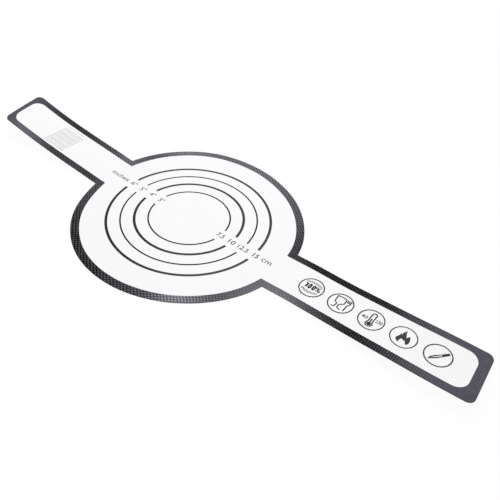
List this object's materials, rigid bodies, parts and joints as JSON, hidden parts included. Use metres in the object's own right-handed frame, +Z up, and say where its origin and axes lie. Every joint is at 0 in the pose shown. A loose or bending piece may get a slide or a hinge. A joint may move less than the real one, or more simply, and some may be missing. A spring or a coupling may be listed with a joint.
{
  "type": "silicone bread sling",
  "caption": "Round reusable silicone baking mat with measuring rings and long carrying straps that lift a loaf into and out of a hot pot.",
  "frame": {"origin": "centre of the disc on its underside, which lies on the table", "axes": "+X along the straps towards the one with the printed badges, +Y towards the disc's far side, +Z up"},
  "size_m": [0.5232, 0.212, 0.0177],
  "materials": {
    "white_silicone": "satin white silicone rubber, with the glass cloth's fine weave just showing through",
    "dark_silicone": "charcoal silicone rubber with a satin sheen and a fine woven emboss",
    "glass_cloth": "plain-woven white glass-fibre cloth",
    "ring_ink": "charcoal silicone screen ink, slightly raised",
    "badge_ink": "charcoal silicone screen ink in fine lines"
  },
  "bodies": {
    "disc": {"disc_base_skin": "white_silicone", "disc_glass_cloth": "glass_cloth", "disc_top_skin": "white_silicone", "disc_edge_band_far": "dark_silicone", "disc_edge_band_near": "dark_silicone", "ring_7_5cm_far": "ring_ink", "ring_7_5cm_near": "ring_ink", "ring_10cm_far": "ring_ink", "ring_10cm_near": "ring_ink", "ring_12_5cm_far": "ring_ink", "ring_12_5cm_near": "ring_ink", "ring_15cm_far": "ring_ink", "ring_15cm_near": "ring_ink"},
    "right_strap": {"right_strap_base_skin": "white_silicone", "right_strap_glass_cloth": "glass_cloth", "right_strap_top_skin": "white_silicone", "right_strap_edge_band_far": "dark_silicone", "right_strap_edge_band_near": "dark_silicone", "badge_ring_number": "badge_ink", "badge_ring_cup_and_fork": "badge_ink", "badge_ring_thermometer": "badge_ink"},
    "right_grip": {"right_grip_base_skin": "white_silicone", "right_grip_glass_cloth": "glass_cloth", "right_grip_top_skin": "white_silicone", "right_grip_edge_band": "dark_silicone", "badge_ring_flame": "badge_ink", "badge_ring_knife": "badge_ink"},
    "left_strap": {"left_strap_base_skin": "white_silicone", "left_strap_glass_cloth": "glass_cloth", "left_strap_top_skin": "white_silicone", "left_strap_edge_band_far": "dark_silicone", "left_strap_edge_band_near": "dark_silicone"},
    "left_grip": {"left_grip_base_skin": "white_silicone", "left_grip_glass_cloth": "glass_cloth", "left_grip_top_skin": "white_silicone", "left_grip_edge_band": "dark_silicone"}
  },
  "joints": [
    {"name": "right_lift", "type": "hinge", "parent": "disc", "child": "right_strap", "pos_m": [0.10306, 0, 0.0008], "axis": [0, -1, 0], "range_deg": [0, 110]},
    {"name": "right_fold", "type": "hinge", "parent": "right_strap", "child": "right_grip", "pos_m": [0.2048, 0, 0.00649], "axis": [0, -1, 0], "range_deg": [0, 100]},
    {"name": "left_lift", "type": "hinge", "parent": "disc", "child": "left_strap", "pos_m": [-0.10306, 0, 0.0008], "axis": [0, 1, 0], "range_deg": [0, 110]},
    {"name": "left_fold", "type": "hinge", "parent": "left_strap", "child": "left_grip", "pos_m": [-0.20447, 0, 0.01074], "axis": [0, 1, 0], "range_deg": [0, 100]}
  ]
}
